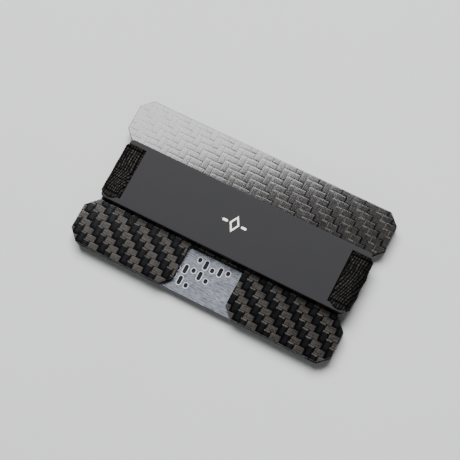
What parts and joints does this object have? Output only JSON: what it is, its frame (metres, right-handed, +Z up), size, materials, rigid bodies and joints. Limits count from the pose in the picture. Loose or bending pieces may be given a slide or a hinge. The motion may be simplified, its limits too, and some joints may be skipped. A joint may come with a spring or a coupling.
{
  "type": "money clip card holder",
  "caption": "Slim carbon plate card holder with an elastic-held metal money clip, thumb notch and a bank card.",
  "frame": {"origin": "under the middle of the plates, on the surface the elastic rests on", "axes": "+X along the long side, +Y away from the thumb notch, +Z up through the plates towards the clip"},
  "size_m": [0.094, 0.054, 0.0076],
  "materials": {
    "carbon_laminate": "twill-weave carbon laminate, satin clear resin",
    "black_metal": "fine matt black anodised, bare metal in the engraving",
    "card_metal": "brushed along its length",
    "elastic": "black woven ribbed elastic",
    "thread": "black sewing thread"
  },
  "bodies": {
    "base": {"bottom_plate": "carbon_laminate", "band_bottom_run": "elastic", "seam_stitches": "thread", "band_left_lower": "elastic", "band_right_lower": "elastic"},
    "upper": {"top_plate": "carbon_laminate", "band_left_upper": "elastic", "band_right_upper": "elastic"},
    "clip": {"clip_plate": "black_metal", "band_top_run": "elastic", "band_left_loop": "elastic", "band_right_loop": "elastic"},
    "card": {"bank_card": "card_metal"}
  },
  "joints": [
    {"name": "plates_open", "type": "slide", "parent": "base", "child": "upper", "axis": [0, 0, 1], "range_m": [0, 0.008], "stiffness_N_per_m": 500, "springref_m": -0.004, "deforming": ["band_left_lower", "band_right_lower"]},
    {"name": "clip_lift", "type": "slide", "parent": "upper", "child": "clip", "axis": [0, 0, 1], "range_m": [0, 0.004], "stiffness_N_per_m": 500, "springref_m": -0.004, "deforming": ["band_left_upper", "band_right_upper"]},
    {"name": "card_slide", "type": "slide", "parent": "base", "child": "card", "axis": [0, 1, 0], "range_m": [-0.04, 0.04]}
  ]
}
